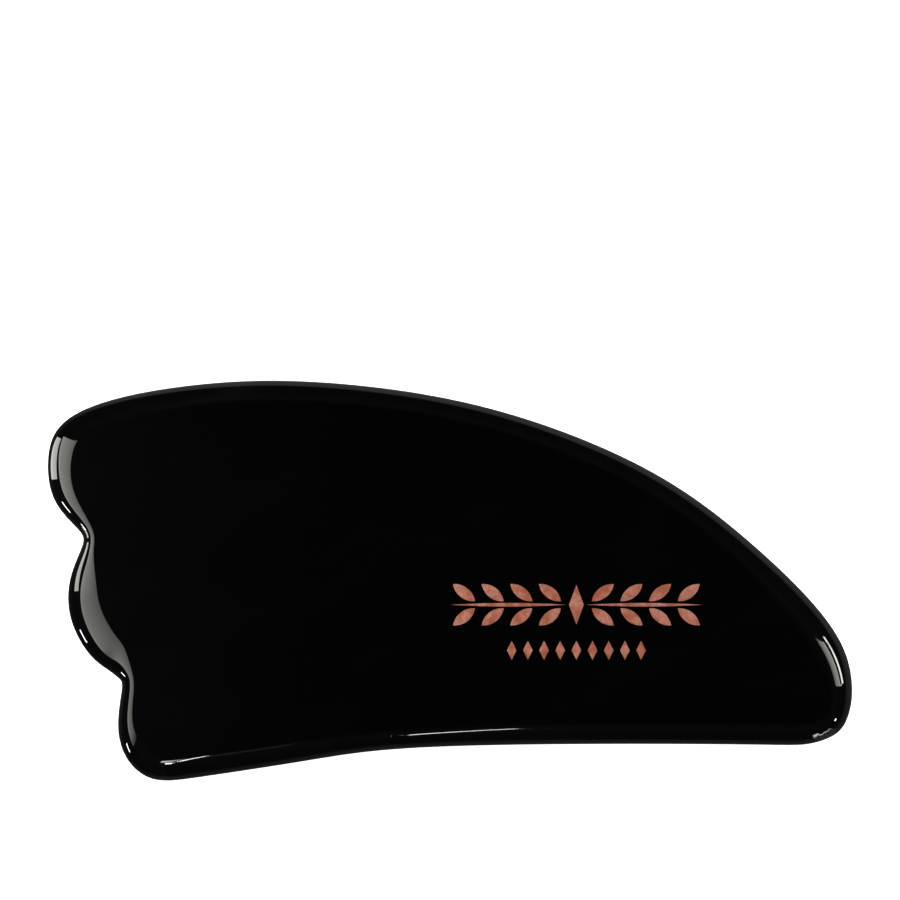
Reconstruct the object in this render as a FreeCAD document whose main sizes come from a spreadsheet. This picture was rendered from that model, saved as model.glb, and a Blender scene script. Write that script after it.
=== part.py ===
import FreeCAD, Part
import math
import os
import Sketcher

# Gua sha scraper: a wing-shaped blade of polished black stone. Its long back bows outwards, its belly
# bends in slightly, one end runs out to a round tip and the other is scalloped into three lobes with a
# notch between each two. The edge is rounded all the way round. A copper-filled engraved ornament
# lies in the upper face: a leafy sprig above a row of lozenges.
#
# Frame, in mm: the blade lies flat with its lower face on z = 0, its length along X and its width
# along Y. The tip points to +X, the lobes face -X and the bowed back faces +Y.

V = FreeCAD.Vector

DIMENSIONS = {
    "blade_length": 110.0,
    "blade_thickness": 6.0,
    "rim_width": 3.0,          # how far in from the edge the faces start to round off
    "engraving_depth": 0.15,
    "fill_proud": 0.02,        # how far the copper stands above the face
    "mark_x": 17.2,            # centre of the sprig
    "mark_y": -3.2,
    "bud_width": 2.0,
    "bud_height": 5.4,
    "stem_start": 1.4,         # gap from the mark's centre to each half of the stem
    "stem_length": 15.8,
    "stem_width": 0.5,
    "leaf_length": 3.8,
    "leaf_width": 1.5,
    "leaf_angle": 38.0,
    "leaf_start": 2.1,         # where the first leaf starts, along and off the stem
    "leaf_gap": 0.48,
    "leaf_pitch": 3.9,
    "leaf_count": 4,           # leaves in each quarter of the sprig
    "dot_width": 1.3,
    "dot_height": 2.6,
    "dot_pitch": 2.2,
    "dot_count": 9,
    "dot_drop": 6.2,           # from the sprig's centre down to the row's
}

# The blade's edge seen from above, at a blade_length of OUTLINE_LENGTH: x, y and the rounded rim's
# width there as a share of rim_width. Anticlockwise from the middle of the straight belly.
OUTLINE_LENGTH = 110.0
OUTLINE = [
    # belly and tip
    (21.0, -22.35, 1.05), (42.0, -22.45, 1.05), (49.0, -22.35, 1.05), (52.8, -20.95, 1.05),
    (54.5, -18.35, 1.05), (55.0, -14.8, 1.1), (53.8, -9.2, 1.35),
    # back
    (49.2, -2.6, 1.3), (41.5, 4.85, 1.1), (31.8, 12.35, 1.0), (20.0, 18.55, 1.0), (6.0, 23.4, 1.0),
    (-9.0, 26.3, 1.0), (-25.0, 27.35, 1.0), (-38.5, 26.3, 1.0),
    # first lobe and notch
    (-47.0, 24.5, 1.1), (-51.9, 22.35, 1.2), (-54.4, 19.4, 1.25), (-55.0, 15.2, 1.2),
    (-53.9, 10.65, 1.1), (-51.1, 7.25, 0.75), (-50.15, 5.8, 0.6), (-50.55, 4.1, 0.75),
    # second lobe and notch
    (-51.95, 0.2, 1.4), (-51.9, -5.05, 1.75), (-49.5, -9.85, 1.85), (-46.95, -12.1, 1.5),
    (-45.3, -13.35, 0.85), (-44.9, -14.9, 0.65),
    # third lobe and heel
    (-45.4, -19.6, 0.8), (-44.35, -24.05, 1.15), (-41.7, -26.7, 1.1), (-38.6, -27.35, 1.1),
    # hollow of the belly
    (-33.0, -26.7, 1.1), (-20.0, -24.7, 1.05), (-5.0, -22.9, 0.95),
]

POLE_PASSES = 60               # each pass cuts the error of spline_poles to less than half
ARC_WEIGHT = math.sqrt(0.5)    # weight of the corner pole of a quarter ellipse


def make_sheet(doc):
    """The driving dimensions, one to a row."""
    sheet = doc.addObject("Spreadsheet::Sheet", "dims")
    for row, (name, value) in enumerate(DIMENSIONS.items(), start=1):
        sheet.set(f"A{row}", name)
        sheet.set(f"B{row}", str(value))
        sheet.setAlias(f"B{row}", name)
    doc.recompute()
    return sheet


def spline_poles(points):
    """Poles of the closed, evenly spaced cubic B-spline that passes through the points."""
    poles = list(points)
    count = len(points)
    for _ in range(POLE_PASSES):
        for i, point in enumerate(points):
            poles[i] = (point * 6 - poles[i - 1] - poles[(i + 1) % count]) / 4
    return poles


def edge_points(sheet):
    """Points on the blade's edge, and for each the point where the flat face ends."""
    scale = sheet.blade_length / OUTLINE_LENGTH
    edge = [V(x, y, 0) * scale for x, y, _ in OUTLINE]
    face = []
    for i, (_, _, share) in enumerate(OUTLINE):
        along = edge[(i + 1) % len(edge)] - edge[i - 1]
        inward = V(-along.y, along.x, 0).normalize()
        face.append(edge[i] + inward * sheet.rim_width * share)
    return edge, face


def rim_surface(sheet):
    """The rounded rim: half an ellipse from the upper face round to the lower one, all the way round."""
    top = V(0, 0, sheet.blade_thickness)
    edge, face = (spline_poles(points) for points in edge_points(sheet))
    poles = []
    for outer, inner in zip(edge, face):
        poles.append([inner + top, outer + top, outer + top / 2, outer, inner])
    weights = [[1, ARC_WEIGHT, 1, ARC_WEIGHT, 1]] * len(poles)
    round_knots = list(range(len(poles) + 1))
    surface = Part.BSplineSurface()
    surface.buildFromPolesMultsKnots(
        poles, [1] * len(round_knots), [3, 2, 3], round_knots, [0, 1, 2], True, False, 3, 2, weights)
    return surface


def make_blank(doc, sheet):
    """The whole stone before engraving: the rim closed by two flat faces."""
    rim = rim_surface(sheet)
    rims = [Part.Wire([rim.vIso(v).toShape()]) for v in (0, 2)]
    shell = Part.makeShell([rim.toShape(), Part.Face(rims[0]), Part.Face(rims[1])])
    shell.sewShape()
    solid = Part.makeSolid(shell)
    if solid.Volume < 0:
        solid.reverse()
    blank = doc.addObject("Part::Feature", "stone_blank")
    blank.Shape = solid
    return blank


def add_fill_body(doc, label, drop="0"):
    """A body for one element of the copper fill, on the floor of the engraving."""
    body = doc.addObject("PartDesign::Body", label)
    body.Label = label
    body.AllowCompound = True
    body.setExpression("Placement.Base.x", "dims.mark_x")
    body.setExpression("Placement.Base.y", f"dims.mark_y - {drop}")
    body.setExpression("Placement.Base.z", "dims.blade_thickness - dims.engraving_depth")
    return body


def origin_feature(body, role):
    return next(item for item in body.Origin.OriginFeatures if item.Role == role)


def add_sketch(body, offset_x="0", offset_y="0", angle="0"):
    """A sketch on the body's XY plane, shifted and turned in that plane."""
    sketch = body.newObject("Sketcher::SketchObject", f"{body.Label}_sketch")
    sketch.AttachmentSupport = [(origin_feature(body, "XY_Plane"), "")]
    sketch.MapMode = "FlatFace"
    sketch.setExpression("AttachmentOffset.Base.x", offset_x)
    sketch.setExpression("AttachmentOffset.Base.y", offset_y)
    sketch.setExpression("AttachmentOffset.Rotation.Angle", angle)
    return sketch


def bind(sketch, constraint, name, expression):
    """Add a dimension to the sketch and drive it from the sheet."""
    index = sketch.addConstraint(constraint)
    sketch.renameConstraint(index, name)
    sketch.setExpression(f"Constraints.{name}", expression)


def draw_lens(sketch, sheet, size):
    """Two equal arcs that meet in a point at the origin and again at size_length along X."""
    length = getattr(sheet, f"{size}_length")
    width = getattr(sheet, f"{size}_width")
    radius = (length ** 2 + width ** 2) / (4 * width)
    rise = radius - width / 2
    swing = math.atan2(rise, length / 2)
    up = V(0, 0, 1)
    upper = Part.ArcOfCircle(Part.Circle(V(length / 2, -rise, 0), up, radius), swing, math.pi - swing)
    lower = Part.ArcOfCircle(
        Part.Circle(V(length / 2, rise, 0), up, radius), math.pi + swing, 2 * math.pi - swing)
    sketch.addGeometry([upper, lower], False)
    sketch.addConstraint([
        Sketcher.Constraint("Coincident", 0, 2, 1, 1),
        Sketcher.Constraint("Coincident", 0, 1, 1, 2),
        Sketcher.Constraint("Coincident", 0, 2, -1, 1),
        Sketcher.Constraint("PointOnObject", 0, 1, -1),
        Sketcher.Constraint("Equal", 0, 1),
    ])
    bind(sketch, Sketcher.Constraint("DistanceX", 0, 2, 0, 1, length), "length", f"dims.{size}_length")
    bind(sketch, Sketcher.Constraint("Radius", 0, radius), "radius",
         f"(dims.{size}_length ^ 2 + dims.{size}_width ^ 2) / (4 * dims.{size}_width)")


def draw_lozenge(sketch, width, height, width_cell, height_cell):
    """A diamond centred on the origin."""
    corners = [V(width / 2, 0, 0), V(0, height / 2, 0), V(-width / 2, 0, 0), V(0, -height / 2, 0)]
    for i, corner in enumerate(corners):
        sketch.addGeometry(Part.LineSegment(corner, corners[(i + 1) % 4]), False)
    for i in range(4):
        sketch.addConstraint(Sketcher.Constraint("Coincident", i, 2, (i + 1) % 4, 1))
        axis = -1 if i % 2 == 0 else -2
        sketch.addConstraint(Sketcher.Constraint("PointOnObject", i, 1, axis))
    bind(sketch, Sketcher.Constraint("DistanceX", 2, 1, 0, 1, width), "width", f"dims.{width_cell}")
    bind(sketch, Sketcher.Constraint("DistanceY", 3, 1, 1, 1, height), "height", f"dims.{height_cell}")
    bind(sketch, Sketcher.Constraint("DistanceX", -1, 1, 0, 1, width / 2), "half_width",
         f"dims.{width_cell} / 2")
    bind(sketch, Sketcher.Constraint("DistanceY", -1, 1, 1, 1, height / 2), "half_height",
         f"dims.{height_cell} / 2")


def pad_fill(body, sketch):
    """Raise the sketch from the engraving's floor to just above the stone's face."""
    pad = body.newObject("PartDesign::Pad", f"{body.Label}_pad")
    pad.Profile = sketch
    pad.setExpression("Length", "dims.engraving_depth + dims.fill_proud")
    sketch.Visibility = False
    body.Tip = pad
    return pad


def mirrored(body, name, plane, original=None):
    """A mirror copy about one of the body's own planes; inside a MultiTransform it has no original."""
    mirror = body.newObject("PartDesign::Mirrored", f"{body.Label}_{name}")
    if original:
        mirror.Originals = [original]
    mirror.MirrorPlane = (origin_feature(body, plane), [""])
    return mirror


def row_pattern(body, size, original=None):
    """Copies along X at size_pitch; inside a MultiTransform it has no original."""
    pattern = body.newObject("PartDesign::LinearPattern", f"{body.Label}_row")
    if original:
        pattern.Originals = [original]
    pattern.Direction = (origin_feature(body, "X_Axis"), [""])
    pattern.Mode = "Spacing"
    pattern.setExpression("Offset", f"dims.{size}_pitch")
    pattern.setExpression("Occurrences", f"dims.{size}_count")
    return pattern


def make_bud(doc, sheet):
    """The upright diamond in the middle of the sprig."""
    body = add_fill_body(doc, "mark_bud")
    sketch = add_sketch(body)
    draw_lozenge(sketch, sheet.bud_width, sheet.bud_height, "bud_width", "bud_height")
    pad_fill(body, sketch)
    return body


def make_stem(doc, sheet):
    """The stem's two halves, each a thin lens running out from the bud."""
    body = add_fill_body(doc, "mark_stem")
    sketch = add_sketch(body, "dims.stem_start")
    draw_lens(sketch, sheet, "stem")
    half = pad_fill(body, sketch)
    body.Tip = mirrored(body, "left", "YZ_Plane", half)
    return body


def make_leaves(doc, sheet):
    """One slanting leaf, repeated outwards along the stem and mirrored to the other three quarters."""
    body = add_fill_body(doc, "mark_leaves")
    sketch = add_sketch(body, "dims.leaf_start", "dims.leaf_gap", "dims.leaf_angle")
    draw_lens(sketch, sheet, "leaf")
    leaf = pad_fill(body, sketch)
    quarters = body.newObject("PartDesign::MultiTransform", "mark_leaves_quarters")
    quarters.Originals = [leaf]
    quarters.Transformations = [
        row_pattern(body, "leaf"),
        mirrored(body, "left", "YZ_Plane"),
        mirrored(body, "below", "XZ_Plane"),
    ]
    body.Tip = quarters
    return body


def make_dots(doc, sheet):
    """The row of small diamonds below the sprig."""
    body = add_fill_body(doc, "mark_dots", "dims.dot_drop")
    sketch = add_sketch(body, "-(dims.dot_count - 1) / 2 * dims.dot_pitch")
    draw_lozenge(sketch, sheet.dot_width, sheet.dot_height, "dot_width", "dot_height")
    dot = pad_fill(body, sketch)
    body.Tip = row_pattern(body, "dot", dot)
    return body


def make_stone(doc, blank, fills):
    """The blade with the engraving that the copper fills cut out of its upper face."""
    engraving = doc.addObject("Part::Compound", "engraving")
    engraving.Links = fills
    stone = doc.addObject("Part::Cut", "stone_blade")
    stone.Label = "stone_blade"
    stone.Base = blank
    stone.Tool = engraving
    return stone


def check_document(doc, nodes):
    """Stop if anything in the document failed or a node's shape is unsound."""
    for item in doc.Objects:
        if "Invalid" in item.State or "Error" in item.State:
            raise RuntimeError(f"{item.Label} failed: {item.State}")
    for node in nodes:
        if node.Shape.isNull() or not node.Shape.isValid():
            raise RuntimeError(f"{node.Label} has no valid shape")


def main():
    doc = FreeCAD.newDocument("gua_sha_scraper")
    sheet = make_sheet(doc)
    fills = [make(doc, sheet) for make in (make_stem, make_leaves, make_bud, make_dots)]
    doc.recompute()
    stone = make_stone(doc, make_blank(doc, sheet), fills)
    doc.recompute()
    nodes = [stone] + fills
    check_document(doc, nodes)
    os.makedirs("parts", exist_ok=True)
    for node in nodes:
        node.Shape.exportStep(f"parts/{node.Label}.step")
        print(node.Label, len(node.Shape.Solids), "solids", round(node.Shape.Volume, 3), "mm3")


main()
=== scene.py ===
"""Gua sha scraper: a black stone blade, mirror polished, with a copper ornament in its upper face."""
import math

import bmesh
import bpy
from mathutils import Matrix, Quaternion, Vector


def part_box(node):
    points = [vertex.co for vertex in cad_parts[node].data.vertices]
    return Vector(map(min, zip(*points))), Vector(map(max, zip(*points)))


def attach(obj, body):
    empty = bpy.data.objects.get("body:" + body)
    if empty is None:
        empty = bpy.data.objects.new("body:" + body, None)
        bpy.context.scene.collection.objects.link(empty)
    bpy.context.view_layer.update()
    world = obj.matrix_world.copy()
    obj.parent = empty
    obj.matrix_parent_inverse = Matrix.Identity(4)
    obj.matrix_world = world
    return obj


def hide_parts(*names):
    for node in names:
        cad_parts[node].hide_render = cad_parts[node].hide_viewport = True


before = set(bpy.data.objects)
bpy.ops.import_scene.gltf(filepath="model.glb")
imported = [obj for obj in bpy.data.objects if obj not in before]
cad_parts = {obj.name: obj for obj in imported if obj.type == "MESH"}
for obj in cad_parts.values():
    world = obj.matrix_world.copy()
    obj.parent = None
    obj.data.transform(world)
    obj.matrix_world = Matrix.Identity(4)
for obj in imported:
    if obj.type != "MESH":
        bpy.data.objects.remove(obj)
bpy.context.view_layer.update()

MM = 0.001

# ---------------------------------------------------------------- sizes from the frame

STONE_LOW, STONE_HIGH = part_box("stone_blade")
THICKNESS = STONE_HIGH.z - STONE_LOW.z
MIDDLE = (STONE_LOW + STONE_HIGH) / 2

# The blade's edge seen from above, as part.py has it: x and y in mm for a blade this long, and the
# rounded rim's width there as a share of RIM_WIDTH. Anticlockwise from the middle of the belly.
OUTLINE_LENGTH = 110.0
RIM_WIDTH = 3.0 * MM
OUTLINE = [
    # belly and tip
    (21.0, -22.35, 1.05), (42.0, -22.45, 1.05), (49.0, -22.35, 1.05), (52.8, -20.95, 1.05),
    (54.5, -18.35, 1.05), (55.0, -14.8, 1.1), (53.8, -9.2, 1.35),
    # back
    (49.2, -2.6, 1.3), (41.5, 4.85, 1.1), (31.8, 12.35, 1.0), (20.0, 18.55, 1.0), (6.0, 23.4, 1.0),
    (-9.0, 26.3, 1.0), (-25.0, 27.35, 1.0), (-38.5, 26.3, 1.0),
    # first lobe and notch
    (-47.0, 24.5, 1.1), (-51.9, 22.35, 1.2), (-54.4, 19.4, 1.25), (-55.0, 15.2, 1.2),
    (-53.9, 10.65, 1.1), (-51.1, 7.25, 0.75), (-50.15, 5.8, 0.6), (-50.55, 4.1, 0.75),
    # second lobe and notch
    (-51.95, 0.2, 1.4), (-51.9, -5.05, 1.75), (-49.5, -9.85, 1.85), (-46.95, -12.1, 1.5),
    (-45.3, -13.35, 0.85), (-44.9, -14.9, 0.65),
    # third lobe and heel
    (-45.4, -19.6, 0.8), (-44.35, -24.05, 1.15), (-41.7, -26.7, 1.1), (-38.6, -27.35, 1.1),
    # hollow of the belly
    (-33.0, -26.7, 1.1), (-20.0, -24.7, 1.05), (-5.0, -22.9, 0.95),
]
SCALE = (STONE_HIGH.x - STONE_LOW.x) / OUTLINE_LENGTH   # metres to one unit of the outline

BUD_LOW, BUD_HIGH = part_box("mark_bud")
SPRIG_CENTRE = (BUD_LOW + BUD_HIGH) / 2
DOTS_LOW, DOTS_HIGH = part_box("mark_dots")
ROW_CENTRE = (DOTS_LOW + DOTS_HIGH) / 2
FILL_FLOOR = BUD_LOW.z
FILL_TOP = BUD_HIGH.z

LEAF_LENGTH, LEAF_WIDTH, LEAF_ANGLE = 3.8 * MM, 1.5 * MM, math.radians(38)
LEAF_START, LEAF_GAP, LEAF_PITCH, LEAF_COUNT = 2.1 * MM, 0.48 * MM, 3.9 * MM, 4
STEM_START, STEM_LENGTH, STEM_WIDTH = 1.4 * MM, 15.8 * MM, 0.5 * MM
DOT_WIDTH, DOT_PITCH, DOT_COUNT = 1.3 * MM, 2.2 * MM, 9
DOT_HEIGHT = DOTS_HIGH.y - DOTS_LOW.y

# ---------------------------------------------------------------- fineness of the meshes

COLUMN_STEP = 0.4 * MM         # longest step round the edge
CHIP_STEP = 0.08 * MM          # the same beside the chip
SPAN_STEPS = 14                # fewest steps between two points of the outline
UPPER_STEPS, LOWER_STEPS = 60, 24      # steps round the upper and the lower half of the rim
GUARD_INSETS = (0.12 * MM, 0.3 * MM)   # narrow flat rings that keep the faces' shading flat
LENS_STEPS = 14
POLE_PASSES = 60

# ---------------------------------------------------------------- the chip

# A shallow chip knocked out of the rim at the tip. From its start it runs a length in a direction, turned
# from X towards Y. Its inner border is a sum of waves, given here as height, radians to the metre and
# phase. Its lower border is a bow that reaches this far below the upper face.
CHIP_START = Vector((49.35, -21.3, 0)) * SCALE
CHIP_TURN = math.radians(22)
CHIP_LENGTH = 3.8 * MM
CHIP_REACH = 0.5 * THICKNESS
CHIP_SINK = 0.06 * MM
CHIP_WAVES = ((0.10 * MM, 2900, 0.4), (0.07 * MM, 6700, 2.2), (0.03 * MM, 15100, 0.8))


# ---------------------------------------------------------------- the blade's shape

def spline_poles(points):
    """Poles of the closed, evenly spaced cubic B-spline that passes through the points."""
    poles = list(points)
    count = len(points)
    for _ in range(POLE_PASSES):
        for i, point in enumerate(points):
            poles[i] = (point * 6 - poles[i - 1] - poles[(i + 1) % count]) / 4
    return poles


def spline_point(poles, span, t):
    """The point a share t of the way along one span of the closed B-spline."""
    count = len(poles)
    weights = ((1 - t) ** 3, 3 * t ** 3 - 6 * t ** 2 + 4, -3 * t ** 3 + 3 * t ** 2 + 3 * t + 1, t ** 3)
    total = Vector((0, 0, 0))
    for offset, weight in enumerate(weights, start=-1):
        total += poles[(span + offset) % count] * weight / 6
    return total


def outline_points():
    """Points on the blade's edge, and for each the point where the flat face ends."""
    edge = [Vector((x, y, 0)) * SCALE for x, y, _ in OUTLINE]
    face = []
    for i, (_, _, share) in enumerate(OUTLINE):
        along = edge[(i + 1) % len(edge)] - edge[i - 1]
        inward = Vector((-along.y, along.x, 0)).normalized()
        face.append(edge[i] + inward * RIM_WIDTH * share)
    return edge, face


def chip_place(point):
    """A point's place along the chip and across its inner border, which waves about a straight line."""
    place = Quaternion((0, 0, 1), -CHIP_TURN) @ (point - CHIP_START)
    border = sum(height * math.sin(pitch * place.x + phase) for height, pitch, phase in CHIP_WAVES)
    return place.x, place.y - border


def beside_chip(point):
    along, _ = chip_place(point)
    return -CHIP_LENGTH < along < 2 * CHIP_LENGTH and point.y < CHIP_START.y + CHIP_LENGTH


def ramp(value, low, high):
    return min(1, max(0, (value - low) / (high - low)))


def chipped(point, core):
    """The rim's point, sunk towards the rim's core where the chip has taken the surface away."""
    along, across = chip_place(point)
    bow = max(0, 1 - (2 * along / CHIP_LENGTH - 1) ** 2)
    below = THICKNESS - point.z - math.sqrt(bow) * CHIP_REACH
    past_border = ramp(across, 0.04 * MM, -0.08 * MM)
    above_bow = ramp(below, 0, -0.6 * MM)
    between_ends = ramp(bow, 0, 0.3)
    share = past_border * above_bow * between_ends
    if share == 0:
        return point
    ripple = 0.7 + 0.3 * math.sin(5200 * along) * math.sin(7900 * across)
    return point + (core - point).normalized() * CHIP_SINK * share * ripple


def columns():
    """Pairs of points, on the edge and on the face's border, all the way round the blade."""
    edge, face = outline_points()
    edge_poles, face_poles = spline_poles(edge), spline_poles(face)
    pairs = []
    for span, start in enumerate(edge):
        end = edge[(span + 1) % len(edge)]
        length = (end - start).length
        longest = CHIP_STEP if beside_chip((start + end) / 2) else COLUMN_STEP
        steps = max(SPAN_STEPS, math.ceil(length / longest))
        for step in range(steps):
            t = step / steps
            pairs.append((spline_point(edge_poles, span, t), spline_point(face_poles, span, t)))
    return pairs


# ---------------------------------------------------------------- the ornament's outlines

def lens(length, width):
    """Two equal arcs that meet in a point at the origin and again at the given length along X."""
    rise = (length ** 2 - width ** 2) / (4 * width)
    radius = rise + width / 2
    swing = math.atan2(length / 2, rise)
    points = []
    for side in (1, -1):
        for step in range(LENS_STEPS):
            angle = (2 * step / LENS_STEPS - 1) * swing
            points.append(Vector((
                length / 2 + side * radius * math.sin(angle),
                side * (rise - radius * math.cos(angle)),
                0)))
    return points


def lozenge(width, height):
    """A diamond centred on the origin."""
    return [Vector((width / 2, 0, 0)), Vector((0, height / 2, 0)),
            Vector((-width / 2, 0, 0)), Vector((0, -height / 2, 0))]


def moved(outline, centre, x=0.0, y=0.0, angle=0.0, flip_x=False, flip_y=False):
    """The outline turned, shifted, mirrored about the ornament's own axes and set at its centre."""
    turn = Quaternion((0, 0, 1), angle)
    sign_x, sign_y = (-1 if flip_x else 1), (-1 if flip_y else 1)
    points = []
    for point in outline:
        place = turn @ point + Vector((x, y, 0))
        points.append(Vector((centre.x + sign_x * place.x, centre.y + sign_y * place.y, 0)))
    if flip_x != flip_y:
        points.reverse()
    return points


def stem_outlines():
    return [moved(lens(STEM_LENGTH, STEM_WIDTH), SPRIG_CENTRE, STEM_START, flip_x=left)
            for left in (False, True)]


def leaf_outlines():
    leaf = lens(LEAF_LENGTH, LEAF_WIDTH)
    outlines = []
    for i in range(LEAF_COUNT):
        for left in (False, True):
            for below in (False, True):
                outlines.append(moved(leaf, SPRIG_CENTRE, LEAF_START + i * LEAF_PITCH, LEAF_GAP,
                                      LEAF_ANGLE, left, below))
    return outlines


def bud_outlines():
    return [moved(lozenge(BUD_HIGH.x - BUD_LOW.x, BUD_HIGH.y - BUD_LOW.y), SPRIG_CENTRE)]


def dot_outlines():
    first = -(DOT_COUNT - 1) / 2 * DOT_PITCH
    return [moved(lozenge(DOT_WIDTH, DOT_HEIGHT), ROW_CENTRE, first + i * DOT_PITCH)
            for i in range(DOT_COUNT)]


# ---------------------------------------------------------------- mesh building

def add_ring(bm, points, z):
    return [bm.verts.new((point.x, point.y, z)) for point in points]


def rim_ring(bm, pairs, angle):
    """The ring of the elliptical rim at an angle above its mid-height, with the chip sunk into it."""
    ring = []
    for edge, face in pairs:
        point = face.lerp(edge, math.cos(angle))
        point.z = THICKNESS / 2 * (1 + math.sin(angle))
        core = Vector((face.x, face.y, THICKNESS / 2))
        ring.append(bm.verts.new(chipped(point, core)))
    return ring


def bridge(bm, upper, lower):
    """A band of quads between two rings that run anticlockwise; it faces outwards."""
    for i in range(len(upper)):
        bm.faces.new((upper[i - 1], lower[i - 1], lower[i], upper[i]))


def ring_edges(bm, ring):
    return [bm.edges.get((ring[i - 1], ring[i])) for i in range(len(ring))]


def fill_face(bm, edges, up):
    """Triangles over a flat region bounded by these edges, facing up or down."""
    made = bmesh.ops.triangle_fill(bm, edges=edges, use_beauty=True)["geom"]
    for face in made:
        if isinstance(face, bmesh.types.BMFace) and (face.normal.z > 0) != up:
            face.normal_flip()


def finish_mesh(bm, name, material, node):
    """Turn the mesh into a piece that stands for a CAD node, smooth but for its marked edges."""
    for face in bm.faces:
        face.smooth = True
    mesh = bpy.data.meshes.new(name)
    bm.to_mesh(mesh)
    bm.free()
    piece = bpy.data.objects.new(name, mesh)
    bpy.context.scene.collection.objects.link(piece)
    mesh.materials.append(material)
    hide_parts(node)
    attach(piece, "root")
    return piece


def build_stone(material, engravings):
    """The blade: an elliptical rim swept round the edge, two flat faces and the engraving in the upper one."""
    bm = bmesh.new()
    pairs = columns()

    def flat_ring(inset, z):
        inner = [face + (face - edge).normalized() * inset for edge, face in pairs]
        return add_ring(bm, inner, z)

    rings = [flat_ring(inset, THICKNESS) for inset in reversed(GUARD_INSETS)]
    for step in range(UPPER_STEPS):
        rings.append(rim_ring(bm, pairs, math.pi / 2 * (1 - step / UPPER_STEPS)))
    for step in range(LOWER_STEPS + 1):
        rings.append(rim_ring(bm, pairs, -math.pi / 2 * step / LOWER_STEPS))
    rings += [flat_ring(inset, 0) for inset in GUARD_INSETS]
    for upper, lower in zip(rings, rings[1:]):
        bridge(bm, upper, lower)

    face_edges = ring_edges(bm, rings[0])
    for outline in engravings:
        mouth = add_ring(bm, outline, THICKNESS)
        floor = add_ring(bm, outline, FILL_FLOOR)
        bridge(bm, floor, mouth)
        mouth_edges = ring_edges(bm, mouth)
        face_edges += mouth_edges
        floor_edges = ring_edges(bm, floor)
        for edge in mouth_edges + floor_edges:
            edge.smooth = False
        fill_face(bm, floor_edges, up=True)
    fill_face(bm, face_edges, up=True)
    fill_face(bm, ring_edges(bm, rings[-1]), up=False)
    return finish_mesh(bm, "polished_blade", material, "stone_blade")


def inset_outline(outline, distance):
    """The outline drawn in by a distance towards its own middle."""
    middle = sum(outline, Vector((0, 0, 0))) / len(outline)
    inner = []
    for i, point in enumerate(outline):
        along = outline[(i + 1) % len(outline)] - outline[i - 1]
        inward = Vector((-along.y, along.x, 0)).normalized()
        step = min(distance, 0.45 * (middle - point).length)
        inner.append(point + inward * step)
    return inner


def build_fill(name, outlines, material, node):
    """Copper fill: upright walls in the engraving and a slightly domed top with a soft shoulder."""
    bm = bmesh.new()
    proud = FILL_TOP - THICKNESS
    profile = ((0, FILL_FLOOR), (0, THICKNESS - 0.01 * MM), (0.03 * MM, THICKNESS + 0.5 * proud),
               (0.08 * MM, FILL_TOP))
    for outline in outlines:
        rings = [add_ring(bm, inset_outline(outline, inset), z) for inset, z in profile]
        for lower, upper in zip(rings, rings[1:]):
            bridge(bm, upper, lower)
        fill_face(bm, ring_edges(bm, rings[0]), up=False)
        fill_face(bm, ring_edges(bm, rings[-1]), up=True)
        for edge in ring_edges(bm, rings[0]):
            edge.smooth = False
    return finish_mesh(bm, name, material, node)


# ---------------------------------------------------------------- shading

OBSIDIAN, SMOKE = (0.0002, 0.0002, 0.0002), (0.0006, 0.0006, 0.0006)
DUST, BROKEN, FROSTED = (0.05, 0.05, 0.05), (0.02, 0.02, 0.022), (0.55, 0.55, 0.55)
COPPER_WORN, COPPER_DEEP, COPPER_PALE = (0.36, 0.095, 0.050), (0.43, 0.115, 0.052), (0.66, 0.285, 0.215)


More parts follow.
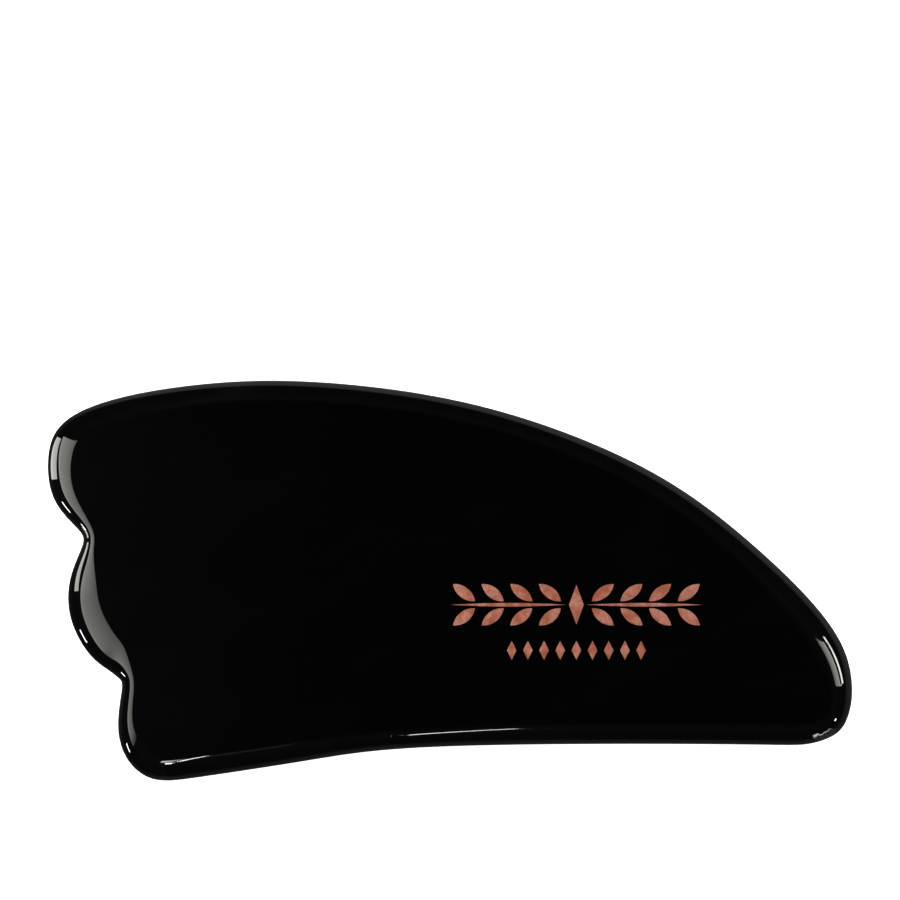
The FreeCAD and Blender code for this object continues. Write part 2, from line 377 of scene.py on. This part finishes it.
class Nodes:
    """A node tree, with short calls for the nodes used here; place is the coordinates they start from."""

    def __init__(self, tree, place):
        self.tree = tree
        self.place = place

    def join(self, source, target):
        self.tree.links.new(source, target)

    def feed(self, socket, value):
        """Give a socket a number, or a link from another node's output."""
        if isinstance(value, (int, float)):
            socket.default_value = value
        else:
            self.join(value, socket)

    def stretched(self, scale, turn=0.0):
        """The starting coordinates turned about Z and then scaled along each axis."""
        node = self.tree.nodes.new("ShaderNodeMapping")
        node.vector_type = "TEXTURE"
        node.inputs["Rotation"].default_value = (0, 0, math.radians(turn))
        node.inputs["Scale"].default_value = [1 / part for part in scale]
        self.join(self.place, node.inputs["Vector"])
        return node.outputs["Vector"]

    def turned(self, origin, turn):
        """The starting coordinates' X, Y and Z measured from an origin, with X turned about Z."""
        node = self.tree.nodes.new("ShaderNodeMapping")
        node.vector_type = "TEXTURE"
        node.inputs["Location"].default_value = origin
        node.inputs["Rotation"].default_value = (0, 0, turn)
        self.join(self.place, node.inputs["Vector"])
        return self.axes(node.outputs["Vector"])

    def noise(self, scale, detail=2.0, place=None):
        node = self.tree.nodes.new("ShaderNodeTexNoise")
        node.inputs["Scale"].default_value = scale
        node.inputs["Detail"].default_value = detail
        self.join(place or self.place, node.inputs["Vector"])
        return node.outputs["Fac"]

    def cells(self, scale):
        """Distance from the nearest of many scattered points, and a random colour for each point."""
        node = self.tree.nodes.new("ShaderNodeTexVoronoi")
        node.inputs["Scale"].default_value = scale
        self.join(self.place, node.inputs["Vector"])
        return node.outputs["Distance"], node.outputs["Color"]

    def axes(self, place=None):
        node = self.tree.nodes.new("ShaderNodeSeparateXYZ")
        self.join(place or self.place, node.inputs["Vector"])
        return node.outputs["X"], node.outputs["Y"], node.outputs["Z"]

    def spread(self, value, low, high, to_low=0.0, to_high=1.0):
        """A value's range low..high stretched, and clamped, to to_low..to_high."""
        node = self.tree.nodes.new("ShaderNodeMapRange")
        for socket, number in zip(("From Min", "From Max", "To Min", "To Max"), (low, high, to_low, to_high)):
            node.inputs[socket].default_value = number
        self.join(value, node.inputs["Value"])
        return node.outputs["Result"]

    def graph(self, value, stops):
        """A value looked up on a line through stops of (value, level)."""
        low, high = stops[0][0], stops[-1][0]
        node = self.tree.nodes.new("ShaderNodeValToRGB")
        elements = node.color_ramp.elements
        while len(elements) < len(stops):
            elements.new(0.5)
        for element, (at, level) in zip(elements, stops):
            element.position = (at - low) / (high - low)
            element.color = (level, level, level, 1)
        self.join(self.spread(value, low, high), node.inputs["Fac"])
        return node.outputs["Color"]

    def combine(self, operation, first, second=0):
        node = self.tree.nodes.new("ShaderNodeMath")
        node.operation = operation
        self.feed(node.inputs[0], first)
        self.feed(node.inputs[1], second)
        return node.outputs["Value"]

    def mix(self, factor, first, second):
        """Blend of two colours, each an RGB triple or another node's output."""
        node = self.tree.nodes.new("ShaderNodeMix")
        node.data_type = "RGBA"
        self.join(factor, node.inputs["Factor"])
        for socket, colour in ((node.inputs[6], first), (node.inputs[7], second)):
            if isinstance(colour, tuple):
                socket.default_value = (*colour, 1)
            else:
                self.join(colour, socket)
        return node.outputs[2]

    def bump(self, height, distance, under=None):
        node = self.tree.nodes.new("ShaderNodeBump")
        node.inputs["Strength"].default_value = 1.0
        node.inputs["Distance"].default_value = distance
        self.join(height, node.inputs["Height"])
        if under:
            self.join(under, node.inputs["Normal"])
        return node.outputs["Normal"]


def new_material(name):
    """A material, its nodes on the object's own coordinates in metres, and its shader's inputs."""
    material = bpy.data.materials.new(name)
    material.use_nodes = True
    tree = material.node_tree
    place = tree.nodes.new("ShaderNodeTexCoord").outputs["Object"]
    return material, Nodes(tree, place), tree.nodes["Principled BSDF"].inputs


def broken_mask(nodes, along, across, height):
    """Mask for the chip's rough grey surface: inside its waving border, and above its ragged bow."""
    middle = nodes.combine("SUBTRACT", nodes.combine("MULTIPLY", along, 2 / CHIP_LENGTH), 1)
    bow = nodes.combine("MAXIMUM", nodes.combine("SUBTRACT", 1, nodes.combine("MULTIPLY", middle, middle)), 0)
    reach = nodes.combine("MULTIPLY", nodes.combine("SQRT", bow), CHIP_REACH)
    ragged = nodes.spread(nodes.noise(1700, 3), 0.3, 0.7, -0.25 * MM, 0.25 * MM)
    depth = nodes.combine("ADD", nodes.combine("SUBTRACT", THICKNESS, height), ragged)
    above_bow = nodes.spread(nodes.combine("SUBTRACT", depth, reach), 0, -0.4 * MM)
    past_border = nodes.spread(across, 0.03 * MM, -0.05 * MM)
    grain = nodes.spread(nodes.noise(9000, 2), 0.4, 0.6, 0.35, 1)
    return nodes.combine("MULTIPLY", nodes.combine("MULTIPLY", grain, above_bow), past_border)


def scar_mask(nodes, along, across, height):
    """Mask for the frosted scar along the chip's border: widest at its start, and on the upper half only."""
    width = nodes.spread(along, 0.5 * MM, 1.3 * MM, 0.26 * MM, 0.08 * MM)
    off = nodes.combine("DIVIDE", nodes.combine("ABSOLUTE", across), width)
    ends = nodes.combine("MULTIPLY", nodes.spread(along, 0.1 * MM, 0.3 * MM),
                         nodes.spread(along, 0.8 * CHIP_LENGTH, 0.55 * CHIP_LENGTH))
    upper = nodes.spread(height, 0.5 * THICKNESS, 0.6 * THICKNESS)
    return nodes.combine("MULTIPLY", nodes.spread(off, 1, 0.5), nodes.combine("MULTIPLY", ends, upper))


def chip_masks(nodes):
    """The two masks of the chip, which share one waving inner border."""
    along, across, height = nodes.turned(CHIP_START, CHIP_TURN)
    for size, pitch, phase in CHIP_WAVES:
        angle = nodes.combine("ADD", nodes.combine("MULTIPLY", along, pitch), phase)
        wave = nodes.combine("MULTIPLY", nodes.combine("SINE", angle), size)
        across = nodes.combine("SUBTRACT", across, wave)
    return broken_mask(nodes, along, across, height), scar_mask(nodes, along, across, height)


def stone_material():
    """Obsidian, ground and polished by hand: near black, glossy, with faint smears, hairlines and dust."""
    material, nodes, surface = new_material("black_obsidian")
    smoke = nodes.spread(nodes.noise(55, 3, nodes.stretched((1, 2.4, 1), 20)), 0.4, 0.75)
    body = nodes.mix(smoke, OBSIDIAN, SMOKE)
    distance, chance = nodes.cells(560)
    speck = nodes.combine("MULTIPLY", nodes.spread(distance, 0.02, 0.06, 1, 0), nodes.spread(chance, 0.9, 0.92))
    dusty = nodes.mix(nodes.combine("MULTIPLY", speck, 0.35), body, DUST)
    chip, scar = chip_masks(nodes)
    broken = nodes.mix(chip, dusty, BROKEN)
    nodes.join(nodes.mix(scar, broken, FROSTED), surface["Base Color"])

    smears = nodes.spread(nodes.noise(70, 4), 0.45, 0.75, 0.02, 0.07)
    rough = nodes.combine("MULTIPLY", nodes.combine("MAXIMUM", chip, scar), 0.4)
    nodes.join(nodes.combine("MAXIMUM", smears, rough), surface["Roughness"])
    surface["IOR"].default_value = 1.5

    waves = nodes.bump(nodes.noise(60, 1), 0.03 * MM)
    hairlines = 0
    for turn in (12, 71, 128):
        streak = nodes.noise(1, 0, nodes.stretched((60, 4200, 60), turn))
        hairlines = nodes.combine("ADD", nodes.spread(streak, 0.74, 0.80), hairlines)
    nodes.join(nodes.bump(hairlines, -0.0003 * MM, waves), surface["Normal"])
    return material


def copper_material():
    """Copper-coloured filling, rubbed in: satin, slightly grainy and uneven in colour."""
    material, nodes, surface = new_material("copper_fill")
    grain = nodes.spread(nodes.noise(5200, 2), 0.3, 0.7)
    patches = nodes.spread(nodes.noise(900, 3), 0.38, 0.62)
    warm = nodes.mix(patches, COPPER_DEEP, COPPER_PALE)
    worn = nodes.spread(grain, 0, 1, 0.35, 1)
    nodes.join(nodes.mix(worn, COPPER_WORN, warm), surface["Base Color"])
    nodes.join(nodes.spread(grain, 0, 1, 0.55, 0.38), surface["Roughness"])
    surface["Metallic"].default_value = 0.35
    nodes.join(nodes.bump(grain, 0.006 * MM), surface["Normal"])
    return material


# ---------------------------------------------------------------- studio

AIM = Vector((MIDDLE.x, MIDDLE.y, THICKNESS))
FAR = 0.6                      # how far away the far lights stand
FLOOR_DROP = -0.02 * MM        # keeps the floor just clear of the blade's underside
STAGE_RADIUS = 4               # of the floor and the dome
NEUTRAL = (1, 1, 1)
WARM = (1, 1.03, 0.95)
COOL = (0.93, 0.98, 1)


def add_light(name, centre, outwards, size, radiance, colour=NEUTRAL, mirrored=True):
    """A rectangular soft light with its back to "outwards"; its radiance is what a mirror would show."""
    width, height = size
    light = bpy.data.lights.new(name, "AREA")
    light.shape = "RECTANGLE"
    light.size = width
    light.size_y = height
    light.color = colour
    light.energy = radiance * math.pi * width * height
    lamp = bpy.data.objects.new(name, light)
    lamp.location = centre
    lamp.rotation_euler = outwards.to_track_quat("Z", "Y").to_euler()
    lamp.visible_camera = False
    lamp.visible_glossy = mirrored
    bpy.context.scene.collection.objects.link(lamp)
    return lamp


def card(name, side, distance, across, bands, radiance, colour=NEUTRAL, slant=0.0, sides=None):
    """An upright light beside the blade: towards +X or -X for a side of 1 or -1, and towards -Y for 0.

    Its distance, its ends and its heights are measured from the frame's origin. The bands are its relative
    brightness as stops of (height, level), from its lower edge to its upper one; they drop by "slant" for
    each metre along the card. The sides are levels along it in the same way.
    """
    drops = [slant * end for end in across]
    low, high = bands[0][0] - max(drops), bands[-1][0] - min(drops)
    outwards = Vector((side, 0, 0)) if side else Vector((0, -1, 0))
    along = Vector((0, 1, 0)) if side else Vector((1, 0, 0))
    centre = outwards * distance + along * sum(across) / 2
    centre.z = (low + high) / 2
    lamp = add_light(name, centre, outwards, (across[1] - across[0], high - low), radiance, colour)

    lamp.data.use_nodes = True
    tree = lamp.data.node_tree
    nodes = Nodes(tree, tree.nodes.new("ShaderNodeNewGeometry").outputs["Position"])
    x, y, z = nodes.axes()
    place = y if side else x
    height = nodes.combine("ADD", z, nodes.combine("MULTIPLY", place, slant))
    level = nodes.combine("MULTIPLY", nodes.graph(height, bands),
                          nodes.combine("MULTIPLY", nodes.combine("GREATER_THAN", height, bands[0][0]),
                                        nodes.combine("LESS_THAN", height, bands[-1][0])))
    if sides:
        level = nodes.combine("MULTIPLY", level, nodes.graph(place, sides))
    nodes.join(level, tree.nodes["Emission"].inputs["Strength"])


def far_light(name, azimuth, spread, polar_range, radiance, colour=NEUTRAL, mirrored=True):
    """A distant light filling a spread of azimuths and a range of angles from the vertical, in degrees."""
    turn, polar = math.radians(azimuth), math.radians(sum(polar_range) / 2)
    outwards = Vector((math.sin(polar) * math.cos(turn), math.sin(polar) * math.sin(turn), math.cos(polar)))
    height = 2 * FAR * math.tan(math.radians((polar_range[1] - polar_range[0]) / 2))
    width = 2 * FAR * math.tan(math.radians(spread / 2)) * math.sin(polar)
    add_light(name, AIM + outwards * FAR, outwards, (width, height), radiance, colour, mirrored)


def make_lights():
    card("left_upper", -1, 0.080, (-0.045, 0.0355),
         ((0.0245, 1.45), (0.030, 1.15), (0.040, 1.0), (0.060, 0.85), (0.090, 0.7), (0.150, 0.5)),
         4.4, WARM, 0.2, ((-0.045, 0.15), (-0.037, 0.6), (-0.030, 0.75), (-0.008, 0.75), (0.004, 1)))
    # Two small strips stand close beside the lobes, hardly higher than the upper face. That face would
    # mirror a higher light when it is seen from low on the other side.
    card("first_lobe_strip", -1, 0.0560, (0.0136, 0.0208), ((0.0040, 1), (0.0062, 1)), 8.5, WARM)
    card("second_lobe_strip", -1, 0.0530, (-0.0014, 0.0055), ((0.0049, 1), (0.0062, 1)), 8.5, WARM, 0.1)
    card("right_upper", 1, 0.122, (-0.010, 0.025),
         ((0.062, 1.6), (0.068, 1.1), (0.080, 0.95), (0.095, 0.8), (0.110, 0.6), (0.125, 0.3)),
         5.3, WARM, -0.75)
    card("right_lower", 1, 0.122, (-0.0085, 0.0293), ((0.034, 1), (0.046, 1)), 20.0, WARM, -0.6)
    card("right_foot", 1, 0.122, (-0.010, 0.0), ((0.0465, 1), (0.0615, 1)), 7.0, WARM, -0.6)
    card("front_strip", 0, 0.122, (-0.0015, 0.015), ((0.124, 1), (0.138, 1)), 28.0, NEUTRAL, -4.5)
    # The heel strip is strong only in the narrow part that makes the short line beside the heel.
    card("heel_strip", 0, 0.122, (-0.062, -0.020), ((0.215, 0.3), (0.235, 1), (0.320, 1), (0.340, 0.3)),
         48.0, NEUTRAL, 0.0, ((-0.062, 0.25), (-0.050, 0.2), (-0.046, 0.04), (-0.0427, 0.04),
                              (-0.0423, 1), (-0.0411, 1), (-0.0407, 0.003), (-0.020, 0.003)))
    card("heel_glint", 0, 0.122, (-0.049, -0.043), ((0.165, 1), (0.195, 1)), 50.0, COOL)
    far_light("left_glint", 207, 7, (87, 92), 36.0, COOL)
    far_light("tip_glint", -30.5, 6, (60, 66), 45.0, COOL)
    far_light("overhead_fill", 90, 45, (0, 45), 6.0, NEUTRAL, mirrored=False)


def make_world():
    """What the stone mirrors between the lights: dark overhead and around, and the lit floor's glow below."""
    world = bpy.data.worlds.new("studio")
    world.use_nodes = True
    bpy.context.scene.world = world
    tree = world.node_tree
    nodes = Nodes(tree, tree.nodes.new("ShaderNodeTexCoord").outputs["Generated"])
    x, y, z = nodes.axes()
    room = nodes.graph(z, ((0.0, 0.03), (0.6, 0.04), (0.9, 0.055), (0.98, 0.035), (1.0, 0.015)))
    left = nodes.graph(x, ((-0.14, 0.008), (-0.09, 0.036), (-0.07, 0.018), (-0.03, 0.004), (0.0, 0.0)))
    depth = nodes.combine("SUBTRACT", z, nodes.combine("MULTIPLY", x, 0.25))
    level = nodes.graph(y, ((-1.0, 0.05), (-0.3, 0.09), (0.2, 0.21), (1.0, 0.33)))
    glow = nodes.combine("MULTIPLY", nodes.spread(depth, -0.12, -0.26), level)
    faded = nodes.combine("MULTIPLY", glow, nodes.spread(z, -1, -0.3, 0.35, 1))
    floor = nodes.combine("MULTIPLY", faded, nodes.spread(x, -0.6, -0.2, 0.25, 1))
    nodes.join(nodes.combine("ADD", nodes.combine("ADD", room, left), floor),
               tree.nodes["Background"].inputs["Color"])


def make_backdrop():
    """A pale floor and dome that glow evenly; the world stands in for them in the stone's reflections."""
    white, _, surface = new_material("lit_white")
    surface["Base Color"].default_value = (0.85, 0.85, 0.85, 1)
    surface["Roughness"].default_value = 0.9
    surface["Emission Color"].default_value = (1, 1, 1, 1)
    surface["Emission Strength"].default_value = 1.0
    floor, dome = bmesh.new(), bmesh.new()
    bmesh.ops.create_circle(floor, cap_ends=True, segments=96, radius=STAGE_RADIUS)
    bmesh.ops.create_uvsphere(dome, u_segments=64, v_segments=32, radius=STAGE_RADIUS)
    for name, shape in (("floor", floor), ("dome", dome)):
        mesh = bpy.data.meshes.new(name)
        shape.to_mesh(mesh)
        shape.free()
        mesh.materials.append(white)
        backdrop = bpy.data.objects.new(name, mesh)
        bpy.context.scene.collection.objects.link(backdrop)
        backdrop.visible_glossy = False
        backdrop.visible_shadow = False
        backdrop.location.z = FLOOR_DROP
    bpy.data.objects["dome"].visible_diffuse = False


def make_camera():
    """Straight above the blade, looking down, with the blade in the lower half of the picture."""
    frame_width = 123.1 * MM
    blade_drop = 17.86 * MM
    distance = 0.6
    camera = bpy.data.cameras.new("camera")
    camera.lens = camera.sensor_width * distance / frame_width
    camera.clip_start = 0.01
    eye = bpy.data.objects.new("camera", camera)
    eye.location = (MIDDLE.x, MIDDLE.y + blade_drop, THICKNESS / 2 + distance)
    bpy.context.scene.collection.objects.link(eye)
    bpy.context.scene.camera = eye


# ---------------------------------------------------------------- assembly

bpy.context.scene.view_settings.view_transform = "Standard"

copper = copper_material()
fills = (
    ("sprig_stem", "mark_stem", stem_outlines()),
    ("sprig_leaves", "mark_leaves", leaf_outlines()),
    ("sprig_bud", "mark_bud", bud_outlines()),
    ("lozenge_row", "mark_dots", dot_outlines()),
)
build_stone(stone_material(), [outline for _, _, outlines in fills for outline in outlines])
for piece_name, node_name, outlines in fills:
    build_fill(piece_name, outlines, copper, node_name)

make_lights()
make_world()
make_backdrop()
make_camera()
